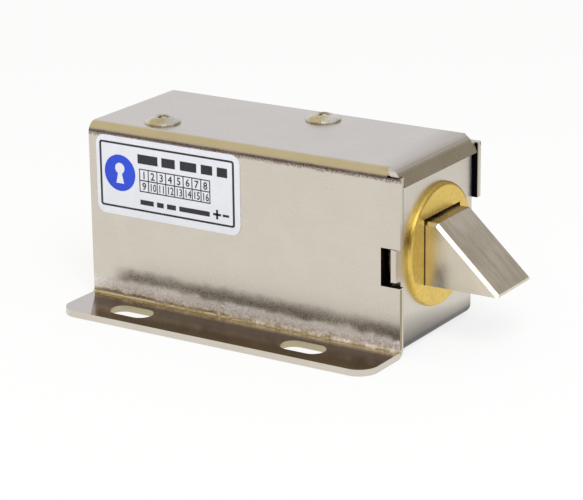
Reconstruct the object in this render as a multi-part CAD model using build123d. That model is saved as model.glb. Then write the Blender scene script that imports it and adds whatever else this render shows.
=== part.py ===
"""Solenoid lock: folded steel case, brass bolt guide, sprung wedge bolt and pull-in coil.

Millimetres. +X is the way the bolt points, +Z is up, the near long side faces -Y.
The origin is the middle of the four mounting slots, on the underside of the flanges.
"""
import os
from math import atan, cos, pi, sin, tan

from build123d import *

# Case sheet, overall sizes
body_length = 53.57
body_width = 23.57
body_height = 27.59
width_over_flanges = 41.85
sheet = 1.0
bend_inside = 0.5
top_bend_inside = 0.7
flange_corner = 3.0

# Mounting slots, a rectangle of four about the origin
slot_length = 7.2
slot_width = 3.9
slot_front_setback = 13.0
slot_rear_setback = 10.57
slot_outward = 0.395

# Case front: rolled lip, corner cuts, notch in the near wall, cut-back of the far wall
lip_near_gap = 0.45
lip_far_gap = 1.95
lip_corner_gap = 0.25
ear_drop = 1.21
ear_gap = 0.06
lip_drop = 2.7
lip_lean = 0.8
relief_margin = 0.1
notch_depth = 3.1
notch_below_axis = 3.4
notch_above_axis = 2.25
far_cut_depth = 5.2
far_cut_above_axis = 4.15

# Base bracket
bracket_sheet = 0.8
bracket_side_gap = 0.4
bracket_recess = 0.7
bracket_lip_gap = 0.06
bracket_rear_top_gap = 0.29
bracket_corner = 1.0
tab_below_axis = 2.65
tab_above_axis = 2.15

# Latch axis above the middle of the case, and the free radius about it that the
# radii of the latch and the coil are drawn for
axis_rise = 0.055
free_radius = 10.74

# Bolt guide
guide_flange_radius = 9.1
guide_proud = 0.15
guide_rim_round = 0.45
guide_hub_radius = 8.0
guide_hub_back = 3.4
guide_hub_clearance = 0.05
guide_hub_chamfer = 0.3
ring_radius = 9.9
ring_thickness = 1.4
ring_notch_width = 2.0
ring_notch_depth = 0.9

# Latch bolt
bolt_half_width = 5.05
bolt_below_axis = 4.7
bolt_above_axis = 4.64
bolt_tip_reach = 11.82
bolt_slope_start = 2.07
bolt_tip_height = 0.4
bolt_edge_chamfer = 0.46
bolt_side_gap = 0.22
bolt_top_gap = 0.4
bolt_bottom_gap = 0.05
collar_half_width = 7.0
collar_half_height = 6.0
collar_length = 2.2
seat_bore_depth = 4.0
seat_bore_radius = 3.9
stroke = 11.0

# Plunger, link pin and return spring
neck_radius = 2.8
neck_grip = 3.8
neck_clearance = 0.05
neck_end_gap = 0.2
link_pin_radius = 0.9
link_pin_inset = 0.25
link_pin_setback = 2.55
plunger_clearance = 0.05
plunger_front_gap = 0.3
plunger_stop_gap = 0.1
plunger_chamfer = 0.5
spring_mean_radius = 3.3
spring_wire_radius = 0.225
spring_seat_clearance = 0.005
spring_active_turns = 6
washer_radius = 6.5
washer_bore_radius = 3.1
washer_thickness = 0.6

# Coil frame
frame_front_setback = 18.6
frame_rear_gap = 2.77
frame_plate = 2.0
frame_inside_bend = 1.0
frame_web_gap = 0.085
frame_arm_inset = 2.385
tenon_half_width = 1.5
tenon_inset = 3.0
tenon_clearance = 0.05

# Coil
tube_radius = 5.3
tube_wall = 0.4
coil_clearance = 0.05
bobbin_wall = 0.85
bobbin_half_size = 9.7
bobbin_corner = 3.0
bobbin_flange = 1.2
winding_radius = 9.1
tape_thickness = 0.2
core_length = 6.0
core_clearance = 0.02
core_stem_radius = 3.0
core_head_overlap = 0.7
core_head = 0.6
shim_thickness = 0.3
shim_inset = 0.35
terminal_width = 1.0
terminal_thickness = 0.6
terminal_lift = 1.0
terminal_grip = 2.85
terminal_inset = 0.8

# Cover screws
screw_head_radius = 2.72
screw_head_rim = 0.2
screw_head_height = 1.1
screw_shank_radius = 1.45
screw_shank_length = 3.7
screw_hole_clearance = 0.15
screw_thread_clearance = 0.02
screw_front_setback = 23.75
screw_rear_setback = 9.92
screw_side_inset = 5.235
recess_width = 0.6
recess_length = 2.2
recess_depth = 0.8

# Wire grommet and label
grommet_side_inset = 4.885
grommet_z = 6.5
grommet_neck_radius = 3.2
grommet_rim_radius = 4.2
grommet_rim = 0.9
grommet_chamfer = 0.4
grommet_bore_radius = 1.8
label_thickness = 0.12
label_length = 25.6
label_height = 12.1
label_corner = 1.5
label_rear_inset = 1.4
label_top_drop = 1.54

# Case places that follow from the sizes above
slot_pitch_x = body_length - slot_front_setback - slot_rear_setback
x_front = slot_pitch_x / 2 + slot_front_setback
x_rear = x_front - body_length
half_width = body_width / 2
half_flange = width_over_flanges / 2
slot_y = (half_width + half_flange) / 2 + slot_outward
bend_outside = bend_inside + sheet
top_bend_outside = top_bend_inside + sheet
inner_half = half_width - sheet
inner_top = body_height - sheet
axis_z = body_height / 2 + axis_rise
lip_half_width = inner_half - lip_corner_gap
ear_top_z = body_height - ear_drop
lip_bottom_z = body_height - lip_drop
lip_bend_tangent = tan((pi / 2 - atan(lip_lean / lip_drop)) / 2)
lip_start = x_front - lip_lean - top_bend_outside * lip_bend_tangent - relief_margin
bracket_half_width = inner_half - bracket_side_gap
bracket_front_top_z = lip_bottom_z - bracket_lip_gap
bracket_rear_top_z = inner_top - bracket_rear_top_gap
rear_inner = x_rear + bracket_sheet
plate_face = x_front - bracket_recess
plate_back = plate_face - bracket_sheet
frame_front = x_front - frame_front_setback
frame_rear = rear_inner + frame_rear_gap
frame_web_half_width = half_width - top_bend_outside - frame_web_gap
frame_arm_half_width = bracket_half_width - frame_arm_inset
tenon_offset = frame_arm_half_width - tenon_inset
web_under = inner_top - frame_plate
label_low_z = body_height - label_top_drop - label_height

# In a case with more or less room about the axis, the latch and the coil follow it
fit = min(inner_half, web_under - axis_z) / free_radius
guide_flange_radius *= fit
guide_hub_radius *= fit
ring_radius *= fit
bolt_half_width *= fit
bolt_below_axis *= fit
bolt_above_axis *= fit
collar_half_width *= fit
collar_half_height *= fit
seat_bore_radius *= fit
neck_radius *= fit
link_pin_radius *= fit
spring_mean_radius *= fit
washer_radius *= fit
washer_bore_radius *= fit
tube_radius *= fit
bobbin_half_size *= fit
winding_radius *= fit
core_stem_radius *= fit

# Latch and coil places
bolt_low_z = axis_z - bolt_below_axis
bolt_high_z = axis_z + bolt_above_axis
guide_face = x_front + guide_proud
hub_end = plate_face - guide_hub_back
collar_back = hub_end - collar_length
spring_floor = collar_back + seat_bore_depth
neck_front = spring_floor + neck_grip
coil_front = frame_front - frame_plate
coil_rear = frame_rear + frame_plate
core_face = coil_rear + core_length
plunger_radius = tube_radius - tube_wall - plunger_clearance
plunger_front = frame_front - plunger_front_gap
plunger_rear = core_face + shim_thickness + plunger_stop_gap + stroke
washer_face = frame_front + washer_thickness
bobbin_bore = tube_radius + coil_clearance
bobbin_tube = bobbin_bore + bobbin_wall
tape_radius = winding_radius + tape_thickness
core_head_radius = core_stem_radius + core_head_overlap
shim_radius = plunger_radius - shim_inset
grommet_y = bracket_half_width - grommet_side_inset


def block(x0, x1, y0, y1, z0, z1):
    """Rectangular solid between two corners."""
    middle = Pos((x0 + x1) / 2, (y0 + y1) / 2, (z0 + z1) / 2)
    return middle * Box(x1 - x0, y1 - y0, z1 - z0)


def rod(x0, x1, radius, y=0.0, z=axis_z):
    """Round bar along X."""
    outline = Plane.YZ.offset(x0) * Pos(y, z) * Circle(radius)
    return extrude(outline, amount=x1 - x0)


def turned(profile, y=0.0, z=axis_z):
    """Turned piece: an (x, radius) outline revolved about an axis along X."""
    outline = make_face(Polyline(*profile, close=True))
    return Pos(0, y, z) * revolve(outline, Axis.X)


def rounded_outline(corners):
    """Closed flat outline from (u, v, corner radius) triples."""
    outline = make_face(Polyline(*[(u, v) for u, v, _ in corners], close=True))
    for u, v, radius in corners:
        if radius > 0:
            corner = outline.vertices().sort_by_distance((u, v, 0))[0]
            outline = fillet(corner, radius)
    return outline


def make_cover():
    """Hat section with two flanges, front lip, reliefs, notch, slots and screw holes."""
    right = [
        (half_flange, sheet, 0), (half_flange, 0, 0), (inner_half, 0, bend_outside),
        (inner_half, inner_top, top_bend_inside),
    ]
    left = [(-u, v, r) for u, v, r in reversed(right)]
    top_right = [(half_width, body_height, top_bend_outside), (half_width, sheet, bend_inside)]
    top_left = [(-u, v, r) for u, v, r in reversed(top_right)]
    section = rounded_outline(right + left + top_left + top_right)
    body = extrude(Plane.YZ.offset(x_rear) * section, amount=body_length)

    body -= block(lip_start, x_front + 1, -half_width - 1, half_width + 1, ear_top_z, body_height + 1)
    lip = rounded_outline([
        (lip_start, body_height, 0), (x_front - lip_lean, body_height, top_bend_outside),
        (x_front, lip_bottom_z, 0), (x_front - sheet, lip_bottom_z, 0),
        (x_front - lip_lean - sheet * lip_bend_tangent, inner_top, top_bend_inside),
        (lip_start, inner_top, 0),
    ])
    lip = extrude(Plane.XZ * lip, amount=half_width, both=True)
    above, between = body_height + 1, ear_top_z + ear_gap
    lip -= block(lip_start, x_front + 1, -half_width - 1, lip_near_gap - half_width, 0, above)
    lip -= block(lip_start, x_front + 1, half_width - lip_far_gap, half_width + 1, between, above)
    lip -= block(lip_start, x_front + 1, -half_width - 1, -lip_half_width, 0, between)
    lip -= block(lip_start, x_front + 1, lip_half_width, half_width + 1, 0, between)
    body += lip

    body -= block(x_front - notch_depth, x_front + 1, -half_width - 1, sheet / 2 - inner_half,
                  axis_z - notch_below_axis, axis_z + notch_above_axis)
    body -= block(x_front - far_cut_depth, x_front + 1, inner_half - sheet / 2, half_flange + 1,
                  -1, axis_z + far_cut_above_axis)

    corners = body.edges().filter_by(Axis.Z).filter_by_position(Axis.Z, sheet / 2 - 0.1, sheet / 2 + 0.1)
    corners = [edge for edge in corners if abs(abs(edge.center().Y) - half_flange) < 0.1]
    body = fillet(corners, flange_corner)

    slot = extrude(SlotOverall(slot_length, slot_width), amount=2 * sheet, both=True)
    for side_x in (-1, 1):
        for side_y in (-1, 1):
            body -= Pos(side_x * slot_pitch_x / 2, side_y * slot_y, 0) * slot
    for x, y in screw_places():
        hole = Cylinder(screw_shank_radius + screw_hole_clearance, 4 * sheet)
        body -= Pos(x, y, body_height) * hole
    return body


def screw_places():
    """Front and rear cover screw, on a diagonal of the top."""
    return [
        (x_front - screw_front_setback, half_width - screw_side_inset),
        (x_rear + screw_rear_setback, screw_side_inset - half_width),
    ]


def tenon_blocks(clearance):
    """Four tenons of the coil frame, or the slots they sit in."""
    blocks = []
    for x0 in (frame_front - frame_plate, frame_rear):
        for y in (-tenon_offset, tenon_offset):
            half = tenon_half_width + clearance
            blocks.append(block(x0 - clearance, x0 + frame_plate + clearance, y - half, y + half,
                                0, bracket_sheet))
    return blocks


def make_base_bracket():
    """U of thinner sheet: front plate, bottom and rear plate, with a tab in the near notch."""
    bend = bracket_sheet * 2
    inner_bend = bracket_sheet
    section = rounded_outline([
        (plate_face, bracket_front_top_z, 0), (plate_face, 0, bend),
        (x_rear, 0, bend), (x_rear, bracket_rear_top_z, 0),
        (rear_inner, bracket_rear_top_z, 0), (rear_inner, bracket_sheet, inner_bend),
        (plate_back, bracket_sheet, inner_bend), (plate_back, bracket_front_top_z, 0),
    ])
    body = extrude(Plane.XZ * section, amount=bracket_half_width, both=True)
    upper = body.edges().filter_by(Axis.X).filter_by_position(Axis.Z, bracket_front_top_z - 0.1,
                                                              bracket_rear_top_z + 0.1)
    body = fillet(upper, bracket_corner)
    body += block(plate_back, plate_face, -half_width, bracket_corner - bracket_half_width,
                  axis_z - tab_below_axis, axis_z + tab_above_axis)
    body -= rod(plate_back - 1, plate_face + 1, guide_hub_radius + guide_hub_clearance)
    for cut in tenon_blocks(tenon_clearance):
        body -= cut
    body -= rod(x_rear - 1, rear_inner + 1, grommet_neck_radius, grommet_y, grommet_z)
    return body


def make_bolt_guide():
    """Flanged brass bush with a rounded rim and a square through hole."""
    rounding = guide_rim_round * (1 - 0.5 ** 0.5)
    body = turned([
        (hub_end, 0), (hub_end, guide_hub_radius - guide_hub_chamfer),
        (hub_end + guide_hub_chamfer, guide_hub_radius), (plate_face, guide_hub_radius),
        (plate_face, guide_flange_radius), (guide_face - guide_rim_round, guide_flange_radius),
        (guide_face - rounding, guide_flange_radius - rounding),
        (guide_face, guide_flange_radius - guide_rim_round), (guide_face, 0),
    ])
    half = bolt_half_width + bolt_side_gap
    opening = block(hub_end - 1, guide_face + 1, -half, half, bolt_low_z - bolt_bottom_gap,
                    bolt_high_z + bolt_top_gap)
    return body - opening


def make_guide_lock_ring():
    """Round nut on the guide's hub, with four spanner notches."""
    back = plate_back - ring_thickness
    ring = rod(back, plate_back, ring_radius)
    ring -= rod(back - 1, plate_back + 1, guide_hub_radius + guide_hub_clearance)
    notch = block(back - 1, plate_back + 1, -ring_notch_width / 2, ring_notch_width / 2,
                  ring_radius - ring_notch_depth, ring_radius + 1)
    for quarter in range(4):
        ring -= Pos(0, 0, axis_z) * Rot(45 + 90 * quarter, 0, 0) * notch
    return ring


def make_latch_bolt():
    """Wedge bolt with chamfered long edges, stop collar, spring seat and pin hole."""
    tip = x_front + bolt_tip_reach
    side = rounded_outline([
        (collar_back, bolt_low_z, 0), (tip, bolt_low_z, 0), (tip, bolt_low_z + bolt_tip_height, 0),
        (x_front + bolt_slope_start, bolt_high_z, 0), (collar_back, bolt_high_z, 0),
    ])
    body = extrude(Plane.XZ * side, amount=bolt_half_width, both=True)
    upper = body.edges().filter_by_position(Axis.Z, bolt_low_z + bolt_tip_height + 0.01, bolt_high_z + 1)
    upper = [edge for edge in upper if abs(edge.center().Y) > bolt_half_width - 0.01]
    body = chamfer([edge for edge in upper if edge.center().X > collar_back + 0.01], bolt_edge_chamfer)
    body += block(collar_back, hub_end, -collar_half_width, collar_half_width,
                  axis_z - collar_half_height, axis_z + collar_half_height)
    body -= rod(collar_back - 1, spring_floor, seat_bore_radius)
    body -= rod(spring_floor - 1, neck_front + neck_end_gap, neck_radius + neck_clearance)
    pin_x = neck_front - link_pin_setback
    body -= cross_pin(pin_x, link_pin_radius + neck_clearance, 2 * bolt_half_width + 2)
    return body


def cross_pin(x, radius, length):
    """Round bar along Y on the latch axis."""
    outline = Plane.XZ * Pos(x, axis_z) * Circle(radius)
    return extrude(outline, amount=length / 2, both=True)


def make_plunger():
    """Steel plunger: thick rear body in the coil, thin neck pinned in the bolt."""
    body = turned([
        (plunger_rear, 0), (plunger_rear, plunger_radius - plunger_chamfer),
        (plunger_rear + plunger_chamfer, plunger_radius), (plunger_front, plunger_radius),
        (plunger_front, neck_radius), (neck_front, neck_radius), (neck_front, 0),
    ])
    body -= cross_pin(neck_front - link_pin_setback, link_pin_radius + neck_clearance, 4 * neck_radius)
    return body


def make_link_pin():
    """Cross pin joining bolt and plunger."""
    length = 2 * (bolt_half_width - link_pin_inset)
    return cross_pin(neck_front - link_pin_setback, link_pin_radius, length)


def make_return_spring():
    """Wire coil with closed end turns, from the washer to the seat in the bolt.

    The wire is six-sided and bent in short straight runs, which keeps the model light.
    """
    wire = 2 * spring_wire_radius
    start = washer_face + spring_wire_radius
    length = spring_floor - washer_face - wire
    turns = spring_active_turns + 2
    open_pitch = (length - 2 * wire) / spring_active_turns
    per_turn = 12
    points = []
    for step in range(turns * per_turn + 1):
        turn = step / per_turn
        along = min(turn, 1) * wire
        along += min(max(turn - 1, 0), spring_active_turns) * open_pitch
        along += max(turn - 1 - spring_active_turns, 0) * wire
        angle = 2 * pi * turn
        y = spring_mean_radius * cos(angle)
        z = axis_z + spring_mean_radius * sin(angle)
        points.append((start + along, y, z))
    path = Polyline(*points)
    section = (path ^ 0) * RegularPolygon(spring_wire_radius - spring_seat_clearance, 6)
    return sweep(section, path=path, transition=Transition.RIGHT)


def make_spring_seat_washer():
    """Flat washer on the coil frame, the rear seat of the spring."""
    disc = rod(frame_front, washer_face, washer_radius)
    return disc - rod(frame_front - 1, washer_face + 1, washer_bore_radius)


def make_coil_frame():
    """C of thick steel: wide web under the case top, two narrower arms with tenons."""
    outer_bend = frame_inside_bend + frame_plate
    section = rounded_outline([
        (frame_front, bracket_sheet, 0), (frame_front, inner_top, outer_bend),
        (frame_rear, inner_top, outer_bend), (frame_rear, bracket_sheet, 0),
        (coil_rear, bracket_sheet, 0), (coil_rear, web_under, frame_inside_bend),
        (coil_front, web_under, frame_inside_bend), (coil_front, bracket_sheet, 0),
    ])
    body = extrude(Plane.XZ * section, amount=frame_web_half_width, both=True)
    for side in (-1, 1):
        y0, y1 = sorted((side * frame_arm_half_width, side * (frame_web_half_width + 1)))
        body -= block(frame_rear - 1, frame_front + 1, y0, y1, 0, web_under - frame_inside_bend)
    for tenon in tenon_blocks(0):
        body += tenon
    body -= rod(coil_front - 1, frame_front + 1, bobbin_bore)
    body -= rod(frame_rear - 1, coil_rear + 1, core_stem_radius)
    for x, y in screw_places():
        hole = Cylinder(screw_shank_radius + screw_thread_clearance, 3 * frame_plate)
        body -= Pos(x, y, inner_top) * hole
    return body


def bobbin_plate(x0, x1):
    """Square end plate of the bobbin with round corners."""
    outline = Plane.YZ.offset(x0) * Pos(0, axis_z) * RectangleRounded(
        2 * bobbin_half_size, 2 * bobbin_half_size, bobbin_corner)
    return extrude(outline, amount=x1 - x0)


def terminal_places():
    """The two solder pins, each a block in the rear end plate."""
    middle = coil_rear + bobbin_flange / 2
    outer = bobbin_half_size - terminal_inset
    high_z = axis_z - bobbin_half_size + terminal_grip
    places = []
    for side in (-1, 1):
        y0, y1 = sorted((side * outer, side * (outer - terminal_width)))
        places.append(block(middle - terminal_thickness / 2, middle + terminal_thickness / 2, y0, y1,
                            bracket_sheet + terminal_lift, high_z))
    return places


def make_bobbin():
    """Moulded spool: tube and two square end plates."""
    body = rod(coil_rear, coil_front, bobbin_tube)
    body += bobbin_plate(coil_rear, coil_rear + bobbin_flange)
    body += bobbin_plate(coil_front - bobbin_flange, coil_front)
    body -= rod(coil_rear - 1, coil_front + 1, bobbin_bore)
    for pin in terminal_places():
        body -= pin
    return body


def coil_sleeve(inner, outer):
    """Ring between the bobbin's end plates."""
    x0 = coil_rear + bobbin_flange
    x1 = coil_front - bobbin_flange
    return rod(x0, x1, outer) - rod(x0 - 1, x1 + 1, inner)


def make_guide_tube():
    """Thin brass tube that the plunger runs in."""
    return rod(coil_rear, frame_front, tube_radius) - rod(coil_rear - 1, frame_front + 1,
                                                          tube_radius - tube_wall)


def make_fixed_core():
    """Steel pole piece, riveted through the rear arm."""
    pole_radius = tube_radius - tube_wall - core_clearance
    return turned([
        (frame_rear - core_head, 0), (frame_rear - core_head, core_head_radius - core_head / 2),
        (frame_rear - core_head / 2, core_head_radius), (frame_rear, core_head_radius),
        (frame_rear, core_stem_radius), (coil_rear, core_stem_radius), (coil_rear, pole_radius),
        (core_face, pole_radius), (core_face, 0),
    ])


def make_cover_screw(place):
    """Truss head screw with a cross recess."""
    crown = screw_head_height - screw_head_rim
    dome = [(screw_head_radius * share, screw_head_rim + crown * (1 - share ** 2))
            for share in (1, 0.85, 0.6, 0.35, 0)]
    outline = make_face(Polyline(
        (0, -screw_shank_length), (screw_shank_radius, -screw_shank_length), (screw_shank_radius, 0),
        (screw_head_radius, 0), *dome, close=True))
    body = revolve(Plane.XZ * outline, Axis.Z)
    floor = screw_head_height - recess_depth
    for length, width in ((recess_length, recess_width), (recess_width, recess_length)):
        body -= block(-length / 2, length / 2, -width / 2, width / 2, floor, screw_head_height + 1)
    return Pos(place[0], place[1], body_height) * body


def make_wire_grommet():
    """Rubber bush in the rear plate where the supply wires pass."""
    outside = x_rear - grommet_rim
    inside = rear_inner + grommet_rim
    return turned([
        (outside, grommet_bore_radius), (outside, grommet_rim_radius - grommet_chamfer),
        (outside + grommet_chamfer, grommet_rim_radius), (x_rear, grommet_rim_radius),
        (x_rear, grommet_neck_radius), (rear_inner, grommet_neck_radius),
        (rear_inner, grommet_rim_radius), (inside, grommet_rim_radius), (inside, grommet_bore_radius),
    ], grommet_y, grommet_z)


def make_label():
    """Thin sheet on the near wall."""
    middle_x = x_rear + label_rear_inset + label_length / 2
    middle_z = label_low_z + label_height / 2
    outline = Plane.XZ.offset(half_width) * Pos(middle_x, middle_z) * RectangleRounded(
        label_length, label_height, label_corner)
    return extrude(outline, amount=label_thickness)


def main():
    """Build every piece and write it as STEP."""
    front_screw, rear_screw = screw_places()
    near_pin, far_pin = terminal_places()
    pieces = {
        "cover": make_cover(),
        "base_bracket": make_base_bracket(),
        "bolt_guide": make_bolt_guide(),
        "guide_lock_ring": make_guide_lock_ring(),
        "latch_bolt": make_latch_bolt(),
        "plunger": make_plunger(),
        "link_pin": make_link_pin(),
        "return_spring": make_return_spring(),
        "spring_seat_washer": make_spring_seat_washer(),
        "coil_frame": make_coil_frame(),
        "bobbin": make_bobbin(),
        "coil_winding": coil_sleeve(bobbin_tube, winding_radius),
        "coil_tape": coil_sleeve(winding_radius, tape_radius),
        "guide_tube": make_guide_tube(),
        "fixed_core": make_fixed_core(),
        "core_shim": rod(core_face, core_face + shim_thickness, shim_radius),
        "terminal_near": near_pin,
        "terminal_far": far_pin,
        "cover_screw_front": make_cover_screw(front_screw),
        "cover_screw_rear": make_cover_screw(rear_screw),
        "wire_grommet": make_wire_grommet(),
        "label": make_label(),
    }
    os.makedirs("parts", exist_ok=True)
    for name, shape in pieces.items():
        export_step(shape, f"parts/{name}.step")


main()
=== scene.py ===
import math

import bmesh
import bpy
from mathutils import Matrix, Vector


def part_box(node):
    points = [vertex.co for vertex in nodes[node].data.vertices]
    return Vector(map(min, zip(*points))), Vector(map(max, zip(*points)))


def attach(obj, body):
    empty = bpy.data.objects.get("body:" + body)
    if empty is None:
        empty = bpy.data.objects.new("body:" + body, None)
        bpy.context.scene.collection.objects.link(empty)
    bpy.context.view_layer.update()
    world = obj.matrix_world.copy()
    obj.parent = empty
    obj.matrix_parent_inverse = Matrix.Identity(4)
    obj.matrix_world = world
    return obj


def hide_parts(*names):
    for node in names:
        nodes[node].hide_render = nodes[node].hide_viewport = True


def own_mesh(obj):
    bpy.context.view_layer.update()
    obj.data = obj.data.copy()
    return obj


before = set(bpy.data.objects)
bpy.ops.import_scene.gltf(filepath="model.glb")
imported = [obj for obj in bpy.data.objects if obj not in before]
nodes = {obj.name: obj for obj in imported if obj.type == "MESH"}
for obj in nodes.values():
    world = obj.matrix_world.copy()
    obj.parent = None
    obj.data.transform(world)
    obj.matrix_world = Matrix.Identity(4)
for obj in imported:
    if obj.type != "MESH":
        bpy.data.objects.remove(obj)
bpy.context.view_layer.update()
MM = 0.001


# Helpers for node trees

def add(tree, kind, inputs=None, **settings):
    """New node with settings and plain input values by socket name or number."""
    node = tree.nodes.new(kind)
    for key, value in settings.items():
        setattr(node, key, value)
    for key, value in (inputs or {}).items():
        node.inputs[key].default_value = value
    return node


def join(tree, source, target):
    """Link one output socket to one input socket."""
    tree.links.new(source, target)


def calc(tree, operation, first, second=None, clamp=False):
    """Math node whose inputs are sockets or numbers."""
    node = add(tree, "ShaderNodeMath", operation=operation, use_clamp=clamp)
    for place, value in enumerate((first, second)):
        if value is None:
            continue
        if hasattr(value, "is_linked"):
            join(tree, value, node.inputs[place])
        else:
            node.inputs[place].default_value = value
    return node.outputs[0]


def times(tree, first, *others):
    """Product of sockets and numbers."""
    for other in others:
        first = calc(tree, "MULTIPLY", first, other)
    return first


def plus(tree, first, *others):
    """Sum of sockets and numbers."""
    for other in others:
        first = calc(tree, "ADD", first, other)
    return first


def minus(tree, first, second):
    """Difference of sockets and numbers."""
    return calc(tree, "SUBTRACT", first, second)


def above(tree, value, limit):
    """1 where a socket is above a number."""
    return calc(tree, "GREATER_THAN", value, limit)


def below(tree, value, limit):
    """1 where a socket is below a number."""
    return calc(tree, "LESS_THAN", value, limit)


def ease(tree, value, low, high, out_low=0.0, out_high=1.0):
    """Smooth step of a socket between two numbers."""
    node = add(tree, "ShaderNodeMapRange", interpolation_type="SMOOTHSTEP",
               inputs={"From Min": low, "From Max": high, "To Min": out_low, "To Max": out_high})
    join(tree, value, node.inputs["Value"])
    return node.outputs["Result"]


def blend(tree, factor, first, second):
    """Colour mix; each colour is a socket or a tuple."""
    node = add(tree, "ShaderNodeMix", data_type="RGBA")
    join(tree, factor, node.inputs["Factor"])
    for name, value in (("A", first), ("B", second)):
        socket = [s for s in node.inputs if s.name == name and s.type == "RGBA"][0]
        if hasattr(value, "is_linked"):
            join(tree, value, socket)
        else:
            socket.default_value = (*value, 1.0)
    return [s for s in node.outputs if s.type == "RGBA"][0]


def axes(tree, vector):
    """The three numbers of a vector socket."""
    split = add(tree, "ShaderNodeSeparateXYZ")
    join(tree, vector, split.inputs[0])
    return split.outputs


def toward(tree, vector, direction):
    """Dot product of a vector socket and a direction."""
    node = add(tree, "ShaderNodeVectorMath", operation="DOT_PRODUCT")
    join(tree, vector, node.inputs[0])
    node.inputs[1].default_value = direction
    return node.outputs["Value"]


# Camera, from a fit to the photograph: radians, millimetres and pixels

YAW, PITCH, ROLL = 0.56833844, 0.31282898, -0.01209571
AIM = Vector((1.0, 0.0, 14.0))
OFF_RIGHT, OFF_DOWN, DISTANCE = 1.37321943, 5.20019089, 363.42285403
FOCAL_PIXELS, IMAGE_WIDTH = 2440.78947, 583.0
SENSOR_WIDTH = 36.0


def make_camera():
    """Camera of the photograph's view."""
    back = Vector((math.sin(YAW) * math.cos(PITCH), -math.cos(YAW) * math.cos(PITCH),
                   math.sin(PITCH)))
    level = Vector((math.cos(YAW), math.sin(YAW), 0.0))
    rise = back.cross(level)
    right = level * math.cos(ROLL) + rise * math.sin(ROLL)
    up = rise * math.cos(ROLL) - level * math.sin(ROLL)
    eye = AIM + right * OFF_RIGHT - up * OFF_DOWN + back * DISTANCE
    data = bpy.data.cameras.new("camera")
    data.sensor_fit = "HORIZONTAL"
    data.sensor_width = SENSOR_WIDTH
    data.lens = FOCAL_PIXELS * SENSOR_WIDTH / IMAGE_WIDTH
    data.clip_start = 0.01
    camera = bpy.data.objects.new("camera", data)
    camera.matrix_world = Matrix((
        (right.x, up.x, back.x, eye.x * MM), (right.y, up.y, back.y, eye.y * MM),
        (right.z, up.z, back.z, eye.z * MM), (0, 0, 0, 1)))
    bpy.context.scene.collection.objects.link(camera)
    bpy.context.scene.camera = camera


make_camera()
bpy.context.scene.view_settings.view_transform = "Standard"


# Studio: world, floor and lamps

WHITE = (1.0, 1.0, 1.0)
SKY = (0.83, 0.84, 0.92)
WARM_SKY = (0.76, 0.67, 0.43)         # shows in the bends of the top
LOW_SKY = (0.19, 0.14, 0.125)         # low and near, under the top bends
FRONT_SKY = (0.29, 0.25, 0.175)       # past the object's front, in the lip and the bolt's slope
FRONT_WAY = Vector((0.57, 0.8, 0.12)).normalized()
CARD_WAY = (0.59, 0.81, 0.0)
CARD = (0.20, 0.17, 0.12)
PAPER = (0.86, 0.86, 0.86, 1)
PAPER_GLOW = 0.8                      # share of plain white that the camera and metal see
FLOOR_HALF, FLOOR_DROP = 3, 0.00005
LAMP_WAY = (0.42, -0.53, 0.73)
LAMP_DISTANCE, LAMP_SIZE = 0.7, 0.3
LAMP_AIM = Vector((0, 0, 0.014))


def make_world():
    """Pale sky with a warm, a low dark and a front dark region; the camera sees plain white."""
    world = bpy.data.worlds.new("studio")
    bpy.context.scene.world = world
    world.use_nodes = True
    tree = world.node_tree
    tree.nodes.clear()
    way = add(tree, "ShaderNodeTexCoord").outputs["Generated"]
    across, depth, height = axes(tree, way)
    warm = times(tree, ease(tree, depth, 0.48, 0.74, 1.0, 0.0), ease(tree, height, 0.40, 0.52),
                 ease(tree, across, -0.3, -0.05, 1.0, 0.0))
    low_near = times(tree, ease(tree, depth, -0.62, -0.42, 1.0, 0.0),
                     ease(tree, height, 0.36, 0.50, 1.0, 0.0))
    far_front = ease(tree, toward(tree, way, FRONT_WAY), 0.64, 1.05)
    sky = blend(tree, warm, SKY, WARM_SKY)
    sky = blend(tree, low_near, sky, LOW_SKY)
    sky = blend(tree, far_front, sky, FRONT_SKY)
    seen = add(tree, "ShaderNodeLightPath").outputs["Is Camera Ray"]
    background = add(tree, "ShaderNodeBackground", inputs={"Strength": 1.0})
    join(tree, blend(tree, seen, sky, WHITE), background.inputs["Color"])
    join(tree, background.outputs[0], add(tree, "ShaderNodeOutputWorld").inputs["Surface"])


def paper_finish():
    """White paper; metal alone shows a dark card that stands past the object's front."""
    paper = bpy.data.materials.new("paper")
    paper.use_nodes = True
    tree = paper.node_tree
    tree.nodes.clear()
    paths = add(tree, "ShaderNodeLightPath").outputs
    seen = plus(tree, paths["Is Camera Ray"], paths["Is Glossy Ray"])
    seen = calc(tree, "ADD", seen, paths["Is Transmission Ray"], clamp=True)
    position = add(tree, "ShaderNodeNewGeometry").outputs["Position"]
    card = times(tree, ease(tree, toward(tree, position, CARD_WAY), 0.10, 0.22),
                 paths["Is Glossy Ray"])
    diffuse = add(tree, "ShaderNodeBsdfDiffuse", inputs={"Color": PAPER})
    glow = add(tree, "ShaderNodeEmission", inputs={"Strength": 1.0})
    join(tree, blend(tree, card, WHITE, CARD), glow.inputs["Color"])
    mix = add(tree, "ShaderNodeMixShader")
    join(tree, times(tree, seen, PAPER_GLOW), mix.inputs[0])
    join(tree, diffuse.outputs[0], mix.inputs[1])
    join(tree, glow.outputs[0], mix.inputs[2])
    join(tree, mix.outputs[0], add(tree, "ShaderNodeOutputMaterial").inputs["Surface"])
    return paper


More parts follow.
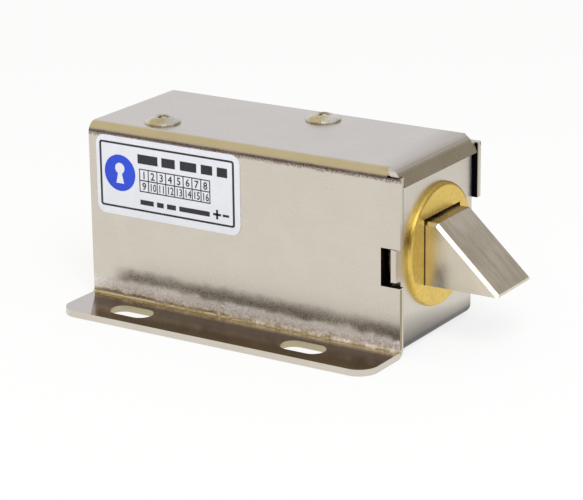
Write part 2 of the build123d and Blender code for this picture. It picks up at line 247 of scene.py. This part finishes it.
def make_floor():
    """Wide floor just under the flanges."""
    mesh = bpy.data.meshes.new("floor")
    corners = [(-FLOOR_HALF, -FLOOR_HALF, 0), (FLOOR_HALF, -FLOOR_HALF, 0),
               (FLOOR_HALF, FLOOR_HALF, 0), (-FLOOR_HALF, FLOOR_HALF, 0)]
    mesh.from_pydata(corners, [], [(0, 1, 2, 3)])
    floor = bpy.data.objects.new("floor", mesh)
    floor.location.z = -FLOOR_DROP
    bpy.context.scene.collection.objects.link(floor)
    mesh.materials.append(paper_finish())


def softbox(name, power, mirrored):
    """Square area lamp that faces the object; metal shows it only where mirrored."""
    data = bpy.data.lights.new(name, "AREA")
    data.shape = "SQUARE"
    data.size = LAMP_SIZE
    data.energy = power
    lamp = bpy.data.objects.new(name, data)
    lamp.visible_glossy = mirrored
    way = Vector(LAMP_WAY).normalized()
    lamp.location = way * LAMP_DISTANCE + LAMP_AIM
    lamp.rotation_euler = way.to_track_quat("Z", "Y").to_euler()
    bpy.context.scene.collection.objects.link(lamp)


make_world()
make_floor()
softbox("key", power=0.55, mirrored=True)
softbox("fill", power=2.3, mirrored=False)


# Materials

PATCH_SCALE = 160.0                   # broad patches of every finish
BUMP_HEIGHT = 0.00002


def finish_start(name, metallic):
    """Material with its tree, its shader and object coordinates."""
    material = bpy.data.materials.new(name)
    material.use_nodes = True
    tree = material.node_tree
    shader = tree.nodes["Principled BSDF"]
    shader.inputs["Metallic"].default_value = metallic
    return material, tree, shader, add(tree, "ShaderNodeTexCoord").outputs["Object"]


def noise(tree, coordinates, scale, stretch=(1, 1, 1), detail=4.0):
    """Noise in object space, stretched along an axis where its number is small."""
    mapping = add(tree, "ShaderNodeMapping", inputs={"Scale": stretch})
    join(tree, coordinates, mapping.inputs["Vector"])
    cloud = add(tree, "ShaderNodeTexNoise",
                inputs={"Scale": scale, "Detail": detail, "Roughness": 0.6})
    join(tree, mapping.outputs[0], cloud.inputs["Vector"])
    return cloud.outputs[0]


def mottle(tree, coordinates, grain, stretch=(1, 1, 1), detail=4.0, share=0.5):
    """Fine grain, and the same mixed by its share with broad patches."""
    fine = noise(tree, coordinates, grain, stretch, detail)
    broad = noise(tree, coordinates, PATCH_SCALE, detail=3.0)
    return fine, plus(tree, times(tree, fine, share), times(tree, broad, 1 - share))


def relief(tree, shader, value, strength, soft=0.0):
    """Bump from a value, over edges that shade as if rounded by the soft radius."""
    node = add(tree, "ShaderNodeBump", inputs={"Strength": strength, "Distance": BUMP_HEIGHT})
    if soft:
        rounded = add(tree, "ShaderNodeBevel", samples=8, inputs={"Radius": soft})
        join(tree, rounded.outputs[0], node.inputs["Normal"])
    join(tree, value, node.inputs["Height"])
    join(tree, node.outputs[0], shader.inputs["Normal"])


def surface(name, dark, light, metallic, rough, grain, stretch=(1, 1, 1), bump=0.2, soft=0.0):
    """Finish with fine grain in colour and bump, and broad patches in colour and roughness."""
    material, tree, shader, coordinates = finish_start(name, metallic)
    fine, mixed = mottle(tree, coordinates, grain, stretch)
    join(tree, blend(tree, ease(tree, mixed, 0.38, 0.62), dark, light),
         shader.inputs["Base Color"])
    join(tree, ease(tree, mixed, 0.35, 0.65, *rough), shader.inputs["Roughness"])
    relief(tree, shader, fine, bump, soft)
    return material


# Bands on the case: low, high, and how soft each of the two edges is, in mm
BANDS = {
    "flange_top": (0.97, 1.03, 0.02, 0.02),           # up: the flanges' upper face
    # the painted reflection on the flanges is darkest here
    "darkest_reflection_band": (13.7, 17.0, 0.7, 1.1),           # out: middle of the flange
    "slot_out": (14.1, 19.5, 0.05, 0.05),             # round the slots, out
    "slot_along": (10.8, 19.2, 0.05, 0.05),           # and along, on both ends
    "slot_up": (0.03, 0.96, 0.01, 0.01),              # and between the sheet's two faces
    "wall_face": (11.7, 12.3, 0.1, 0.2),              # out: wall and the start of the bend
    "bend": (11.5, 12.5, 0.1, 0.1),
    "root": (1.03, 2.1, 0.03, 0.5),                   # up, and so are the next four
    "scuff": (1.4, 3.3, 0.3, 0.5),
    # a strip of painted reflection on the walls
    "drawn": (3.7, 5.0, 0.5, 1.0),
    # painted dark reflection line under the top bends
    "painted_dark_reflection_line": (25.8, 26.45, 0.2, 0.2),
    "edge_up": (1.3, 10.3, 0.1, 0.1),
    "edge_out": (11.2, 11.9, 0.1, 0.01),              # outer half of a wall's front edge
    "contact_shade_out": (10.7, 11.2, 0.01, 0.1),            # and its inner half
    "contact_shade_up": (16.1, 26.2, 0.1, 0.1),
    "notch_up": (10.44, 16.1, 0.01, 0.01),
    "notch_rear": (24.89, 24.91, 0.005, 0.005),       # along: the notch's rear face
    "notch_sill": (10.44, 10.46, 0.005, 0.005),       # up: its lower face
}
# Colours that tint the case's nickel, many of them painted reflection and painted shade
TINTS = {
    # painted brown reflection where the top rolls into the lip
    "rolled": (0.44, 0.385, 0.31),
    # painted reflection of the walls on the flanges' top: near the wall, further out, and darkest
    "flange_near_reflection": (0.70, 0.61, 0.43),
    "flange_out_reflection": (0.30, 0.225, 0.14),
    "flange_darkest_reflection": (0.12, 0.075, 0.04),
    "flange_end": (0.60, 0.55, 0.47),
    "slot": (0.47, 0.41, 0.27),
    "root_low": (0.36, 0.29, 0.17),
    "root_high": (0.56, 0.43, 0.24),
    "scuff": (0.93, 0.89, 0.87),
    # painted reflection on the walls above the flanges
    "drawn": (0.25, 0.21, 0.18),
    # painted dark reflection under the top bends
    "painted_dark_reflection_line": (0.23, 0.175, 0.155),
    # painted shade on the walls' front edges, and painted contact shadow beside the front plate
    "edge": (0.32, 0.27, 0.16),
    "painted_contact_shade": (0.47, 0.43, 0.33),
    "unlit": (0.010, 0.010, 0.014),
}
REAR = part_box("cover")[0][0]          # the case's rear end
WALL = 0.01178                        # a wall's outer face, out from the middle
INNER, CLEAR = 0.0107, 0.0108         # just below and just above a wall's inner face
NEAR_WALL = 0.0114                    # out: within a wall's thickness
FRONT_EDGE = 0.02799                  # just short of the walls' front edges
NOTCH_REAR = 0.0249
LIP_REAR = 0.0269                     # along: what lies behind it is out of the light
CEILING, TOP = 0.0266, 0.0272         # up: just above the top's lower face, and in its sheet
PLATE_REAR = 0.0258                   # along: rear face of the bracket's front plate
PLATE_FOOT = 0.0013                   # up: where that plate's painted shade is darkest


def band(tree, value, name):
    """1 inside a named band of the case, with its soft edges."""
    low, high, soft_low, soft_high = (number * MM for number in BANDS[name])
    return times(tree, ease(tree, value, low - soft_low, low + soft_low),
                 ease(tree, value, high - soft_high, high + soft_high, 1.0, 0.0))


def case_finish():
    """Nickel case: painted dark reflection on the flanges, satin walls, a scuffed strip and a
    strip of painted reflection above the bends, painted shade inside.
    """
    material, tree, shader, coordinates = finish_start("nickel", 1.0)
    along, across, high = axes(tree, coordinates)
    side = calc(tree, "ABSOLUTE", across)
    fine, mixed = mottle(tree, coordinates, 1800, (0.25, 1, 1), detail=1.0, share=0.25)
    grit = noise(tree, coordinates, 5200, detail=2.0)
    wander = minus(tree, noise(tree, coordinates, 420, detail=3.0), 0.5)
    colour = blend(tree, ease(tree, mixed, 0.36, 0.64), (0.635, 0.59, 0.51), (0.67, 0.625, 0.545))
    rough = ease(tree, mixed, 0.35, 0.65, 0.26, 0.295)

    # top: painted brown reflection where it rolls over into the lip, sooner on the far side
    skewed = plus(tree, along, times(tree, across, 0.12))
    rolled = times(tree, ease(tree, skewed, 0.0218, 0.0270, 0.0, 0.75), above(tree, high, TOP))
    colour = blend(tree, rolled, colour, TINTS["rolled"])

    # flanges: painted dark brown reflection of the walls on top, from the wall outwards, and
    # glossier; paler past the slant where the wall's rear end is mirrored and the painted
    # reflection stops
    upper = band(tree, high, "flange_top")
    painted_flange_reflection = blend(tree, ease(tree, side, 0.0119, 0.0146),
                    TINTS["flange_near_reflection"], TINTS["flange_out_reflection"])
    painted_flange_reflection = blend(tree, band(tree, side, "darkest_reflection_band"), painted_flange_reflection, TINTS["flange_darkest_reflection"])
    beyond = minus(tree, along, times(tree, minus(tree, side, WALL), 0.64))
    painted_flange_reflection = blend(tree, ease(tree, beyond, REAR + 0.0001, REAR + 0.0004),
                    TINTS["flange_end"], painted_flange_reflection)
    colour = blend(tree, upper, colour, painted_flange_reflection)
    rough = minus(tree, rough, times(tree, upper, 0.1))
    punched = times(tree, band(tree, side, "slot_out"),
                    band(tree, calc(tree, "ABSOLUTE", along), "slot_along"),
                    band(tree, high, "slot_up"))
    colour = blend(tree, punched, colour, TINTS["slot"])

    # walls above the bends: golden root, pale scuffed strip and a dark strip of painted
    # reflection, which all wander and drop a little to the front
    wall = band(tree, side, "wall_face")
    level = plus(tree, high, times(tree, along, 0.012), times(tree, wander, 0.0018))
    root = times(tree, band(tree, side, "bend"), band(tree, level, "root"))
    golden = blend(tree, ease(tree, level, 0.0012, 0.0017), TINTS["root_low"], TINTS["root_high"])
    colour = blend(tree, root, colour, golden)
    pitted = times(tree, wall, band(tree, level, "scuff"), ease(tree, grit, 0.42, 0.58, 0.4, 1.0))
    colour = blend(tree, pitted, colour, TINTS["scuff"])
    rough = plus(tree, rough, times(tree, pitted, 0.42))
    worn = calc(tree, "MAXIMUM", times(tree, pitted, 1.7), root)
    join(tree, minus(tree, 1.0, times(tree, worn, 0.35)), shader.inputs["Metallic"])
    drawn = times(tree, wall, band(tree, level, "drawn"), ease(tree, along, -0.0225, -0.0185),
                  ease(tree, grit, 0.40, 0.6, 0.5, 1.0))
    colour = blend(tree, drawn, colour, TINTS["drawn"])
    rough = plus(tree, rough, times(tree, drawn, 0.2))

    # painted dark reflection just under the top bends
    uneven = plus(tree, high, times(tree, wander, 0.0008))
    painted_dark_reflection_line = times(tree, above(tree, side, NEAR_WALL), band(tree, uneven, "painted_dark_reflection_line"),
                 ease(tree, grit, 0.42, 0.58, 0.25, 1.0))
    colour = blend(tree, painted_dark_reflection_line, colour, TINTS["painted_dark_reflection_line"])

    # painted shade on the walls' front edges: darker on the outer half, and olive painted contact
    # shadow on the inner half beside the front plate
    front = above(tree, along, FRONT_EDGE)
    edge = times(tree, front, band(tree, side, "edge_out"), band(tree, high, "edge_up"))
    colour = blend(tree, edge, colour, TINTS["edge"])
    painted_contact_shade = times(tree, front, band(tree, side, "contact_shade_out"), band(tree, high, "contact_shade_up"))
    colour = blend(tree, painted_contact_shade, colour, TINTS["painted_contact_shade"])

    # unlit inside, and the notch's rear and lower faces
    in_wall = above(tree, side, INNER)
    deep = calc(tree, "MAXIMUM", below(tree, along, LIP_REAR), in_wall)
    cavity = times(tree, below(tree, side, CLEAR), below(tree, high, CEILING), deep)
    behind = times(tree, in_wall, band(tree, high, "notch_up"), band(tree, along, "notch_rear"))
    sill = times(tree, above(tree, along, NOTCH_REAR), band(tree, high, "notch_sill"), in_wall)
    dark = calc(tree, "MAXIMUM", cavity, calc(tree, "MAXIMUM", behind, sill))
    colour = blend(tree, dark, colour, TINTS["unlit"])
    rough = plus(tree, rough, times(tree, dark, 0.4))

    join(tree, colour, shader.inputs["Base Color"])
    join(tree, rough, shader.inputs["Roughness"])
    relief(tree, shader, plus(tree, times(tree, fine, 0.3), times(tree, pitted, grit)), 0.05)
    return material


def plate_finish():
    """Zinc bracket, whose front plate has painted shade towards its foot, further up on the near
    side.
    """
    material, tree, shader, coordinates = finish_start("zinc", 1.0)
    along, across, high = axes(tree, coordinates)
    fine, mixed = mottle(tree, coordinates, 1800, (1, 1, 0.25))
    colour = blend(tree, ease(tree, mixed, 0.38, 0.62), (0.66, 0.615, 0.54), (0.71, 0.665, 0.595))
    # painted shade at the plate's foot, where it bends round to the bottom
    reach = ease(tree, across, -0.014, 0.010, 0.0052, 0.0019)
    least = ease(tree, across, -0.006, 0.010, 0.22, 0.42)
    risen = calc(tree, "DIVIDE", minus(tree, high, PLATE_FOOT), reach, clamp=True)
    light = plus(tree, least, times(tree, risen, minus(tree, 1.0, least)))
    light = times(tree, light, ease(tree, high, 0.0007, 0.0019, 0.25, 1.0))
    shade = times(tree, minus(tree, 1.0, light), above(tree, along, PLATE_REAR))
    join(tree, blend(tree, shade, colour, (0.01, 0.008, 0.007)), shader.inputs["Base Color"])
    join(tree, ease(tree, mixed, 0.35, 0.65, 0.3, 0.4), shader.inputs["Roughness"])
    relief(tree, shader, fine, 0.1)
    return material


# Dark and light colour, metallic, lowest and highest roughness, grain, and what differs
SURFACES = {
    "brass": ((0.70, 0.49, 0.11), (0.84, 0.62, 0.16), 1, (0.3, 0.42), 1500, {}),
    "bolt": ((0.62, 0.565, 0.455), (0.77, 0.71, 0.59), 1, (0.22, 0.36), 900,
             {"stretch": (0.12, 1, 0.12), "bump": 0.12}),
    "screw": ((0.55, 0.505, 0.40), (0.74, 0.695, 0.60), 1, (0.14, 0.24), 2500,
              {"bump": 0.08, "soft": 0.0005}),
    "core": ((0.20, 0.19, 0.18), (0.32, 0.31, 0.29), 1, (0.35, 0.5), 1400,
             {"stretch": (1, 0.2, 0.2)}),
    "frame_steel": ((0.30, 0.29, 0.27), (0.42, 0.41, 0.38), 1, (0.35, 0.5), 1200, {}),
    "spring": ((0.38, 0.37, 0.36), (0.52, 0.51, 0.50), 1, (0.2, 0.3), 3000, {}),
    "tube": ((0.62, 0.45, 0.14), (0.74, 0.55, 0.2), 1, (0.2, 0.32), 1800,
             {"stretch": (0.2, 1, 1)}),
    "nylon": ((0.012, 0.012, 0.013), (0.025, 0.025, 0.027), 0, (0.45, 0.6), 900, {"bump": 0.15}),
    "copper": ((0.42, 0.13, 0.05), (0.62, 0.24, 0.10), 1, (0.25, 0.4), 3500,
               {"stretch": (1, 0.05, 0.05), "bump": 0.8}),
    "tape": ((0.55, 0.42, 0.08), (0.66, 0.52, 0.12), 0, (0.3, 0.4), 800,
             {"stretch": (0.2, 1, 1)}),
    "rubber": ((0.018, 0.018, 0.02), (0.035, 0.035, 0.038), 0, (0.5, 0.7), 1500, {"bump": 0.4}),
    "film": ((0.76, 0.79, 0.85), (0.80, 0.83, 0.89), 0, (0.3, 0.4), 600, {"bump": 0.03}),
    "ink": ((0.008, 0.008, 0.01), (0.022, 0.022, 0.027), 0, (0.4, 0.55), 2500, {"bump": 0.05}),
    "blue": ((0.008, 0.052, 0.62), (0.014, 0.07, 0.72), 0, (0.35, 0.45), 2000, {"bump": 0.05}),
}
WORN_BY = {
    "nickel": ("cover",),
    "zinc": ("base_bracket",),
    "brass": ("bolt_guide", "guide_lock_ring"),
    "bolt": ("latch_bolt",),
    "screw": ("cover_screw_front", "cover_screw_rear"),
    "core": ("plunger", "link_pin", "fixed_core"),
    "frame_steel": ("coil_frame",),
    "spring": ("return_spring",),
    "tube": ("spring_seat_washer", "guide_tube", "core_shim", "terminal_near", "terminal_far"),
    "nylon": ("bobbin",),
    "copper": ("coil_winding",),
    "tape": ("coil_tape",),
    "rubber": ("wire_grommet",),
    "film": ("label",),
}

FINISHES = {"nickel": case_finish(), "zinc": plate_finish()}
for finish_name, (*look, others) in SURFACES.items():
    FINISHES[finish_name] = surface(finish_name, *look, **others)
for finish_name, wearers in WORN_BY.items():
    for wearer in wearers:
        slots = nodes[wearer].data.materials
        for number in range(len(slots)):
            slots[number] = FINISHES[finish_name]
        if not slots:
            slots.append(FINISHES[finish_name])


# Return spring, as a copy with a mesh of its own on the housing, in place of the part

coil = bpy.data.objects.new("spring_coil", nodes["return_spring"].data.copy())
coil.matrix_world = nodes["return_spring"].matrix_world
bpy.context.scene.collection.objects.link(coil)
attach(coil, "housing")
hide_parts("return_spring")
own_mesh(coil)


# Print on the label, as (x, z) places in mm: border, disc, bars and a table of plain numbers

LABEL_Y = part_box("label")[0][1]
BORDER_OUT = (-23.55, 0.5, 15.08, 25.17, 0.45)        # x0, x1, z0, z1 and corner radius
BORDER_IN = (-23.2, 0.15, 15.38, 24.87, 0.2)
UPPER_BARS = ((-16.6, -13.0), (-12.3, -9.9), (-9.0, -6.1), (-5.3, -3.3), (-2.5, -0.7))
UPPER_Z = (22.45, 23.85)
LOWER_BARS = ((-16.3, -13.9), (-13.3, -12.1), (-11.5, -9.9), (-9.3, -3.9))
LOWER_Z = (16.15, 16.9)
PLUS_AND_MINUS = ((-3.3, -1.9, 16.5, 16.85), (-2.775, -2.425, 15.95, 17.4),
                  (-1.6, -0.5, 16.5, 16.85))
TABLE_X, TABLE_Z = (-16.3, -3.8), (18.2, 21.6)
COLUMNS, ROWS = 8, 2
HALF_LINE = 0.08
FIGURE_HEIGHT = 1.15
FONT_SIZE, BOLDER = 1.4, 0.02         # for a figure of height one
WIDE, NARROW = 0.95, 0.78             # squeeze of one figure, and of two side by side
DISC_X, DISC_Z, DISC_RADIUS = -19.9, 20.5, 2.8
HOLE_Z, HOLE_RADIUS = 21.2, 0.85
KEYHOLE_FOOT = [(-20.6, 18.9), (-19.2, 18.9)]


def letters(text, middle_x, middle_z, tall):
    """Flat mesh of a short text, centred, in the frame's metres."""
    curve = bpy.data.curves.new("figure", "FONT")
    curve.body = text
    curve.size = tall * MM * FONT_SIZE
    curve.offset = tall * MM * BOLDER
    curve.resolution_u = 2
    curve.align_x = "CENTER"
    holder = bpy.data.objects.new("figure", curve)
    bpy.context.scene.collection.objects.link(holder)
    depsgraph = bpy.context.evaluated_depsgraph_get()
    mesh = bpy.data.meshes.new_from_object(holder.evaluated_get(depsgraph))
    bpy.data.objects.remove(holder)
    bpy.data.curves.remove(curve)
    squeeze = NARROW if len(text) > 1 else WIDE
    for vertex in mesh.vertices:
        vertex.co = (middle_x * MM + vertex.co.x * squeeze, LABEL_Y,
                     (middle_z - tall / 2) * MM + vertex.co.y)
    return mesh


def patch(sheet, points):
    """One flat face on the label through (x, z) points in mm."""
    sheet.faces.new([sheet.verts.new((x * MM, LABEL_Y, z * MM)) for x, z in points])


def bar(sheet, x0, x1, z0, z1):
    """Flat bar on the label."""
    patch(sheet, [(x0, z0), (x1, z0), (x1, z1), (x0, z1)])


def arc(x, z, radius, start, sweep, steps):
    """Points along an arc, which starts and sweeps by degrees."""
    angles = [math.radians(start + sweep * k / steps) for k in range(steps + 1)]
    return [(x + radius * math.cos(angle), z + radius * math.sin(angle)) for angle in angles]


def corner_loop(x0, x1, z0, z1, radius):
    """Points of a rectangle with round corners."""
    points = []
    middles = ((x1 - radius, z1 - radius), (x0 + radius, z1 - radius),
               (x0 + radius, z0 + radius), (x1 - radius, z0 + radius))
    for quarter, (x, z) in enumerate(middles):
        points += arc(x, z, radius, 90 * quarter, 90, 6)
    return points


def ring(sheet, outer, inner):
    """Flat line between two loops of as many points."""
    count = len(outer)
    for k in range(count):
        after = (k + 1) % count
        patch(sheet, [outer[k], outer[after], inner[after], inner[k]])


def printed(name, sheet, finish, lift):
    """Piece of print that stands a little proud of the label."""
    for face in sheet.faces:
        if face.normal.y > 0:
            face.normal_flip()
    grown = bmesh.ops.extrude_face_region(sheet, geom=sheet.faces[:])
    raised = [item for item in grown["geom"] if isinstance(item, bmesh.types.BMVert)]
    bmesh.ops.translate(sheet, verts=raised, vec=(0, -lift * MM, 0))
    bmesh.ops.recalc_face_normals(sheet, faces=sheet.faces[:])
    mesh = bpy.data.meshes.new(name)
    sheet.to_mesh(mesh)
    sheet.free()
    mesh.materials.append(FINISHES[finish])
    piece = bpy.data.objects.new(name, mesh)
    bpy.context.scene.collection.objects.link(piece)
    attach(piece, "housing")


def number_table(sheet):
    """Ruled table with the numbers from 1, row by row."""
    (left, right), (low, high) = TABLE_X, TABLE_Z
    pitch_x, pitch_z = (right - left) / COLUMNS, (high - low) / ROWS
    for column in range(COLUMNS + 1):
        x = left + column * pitch_x
        bar(sheet, x - HALF_LINE, x + HALF_LINE, low - HALF_LINE, high + HALF_LINE)
    for row in range(ROWS + 1):
        z = low + row * pitch_z
        bar(sheet, left, right, z - HALF_LINE, z + HALF_LINE)
    for number in range(COLUMNS * ROWS):
        row, column = divmod(number, COLUMNS)
        sheet.from_mesh(letters(str(number + 1), left + (column + 0.5) * pitch_x,
                                high - (row + 0.5) * pitch_z, FIGURE_HEIGHT))


black = bmesh.new()
ring(black, corner_loop(*BORDER_OUT), corner_loop(*BORDER_IN))
for x0, x1 in UPPER_BARS:
    bar(black, x0, x1, *UPPER_Z)
for x0, x1 in LOWER_BARS:
    bar(black, x0, x1, *LOWER_Z)
for corners in PLUS_AND_MINUS:
    bar(black, *corners)
number_table(black)
printed("label_print", black, "ink", lift=0.015)

disc = bmesh.new()
patch(disc, arc(DISC_X, DISC_Z, DISC_RADIUS, 0, 352.5, 47))
printed("label_disc", disc, "blue", lift=0.012)

keyhole = bmesh.new()
patch(keyhole, arc(DISC_X, HOLE_Z, HOLE_RADIUS, -65, 310, 20) + KEYHOLE_FOOT)
printed("label_keyhole", keyhole, "film", lift=0.02)
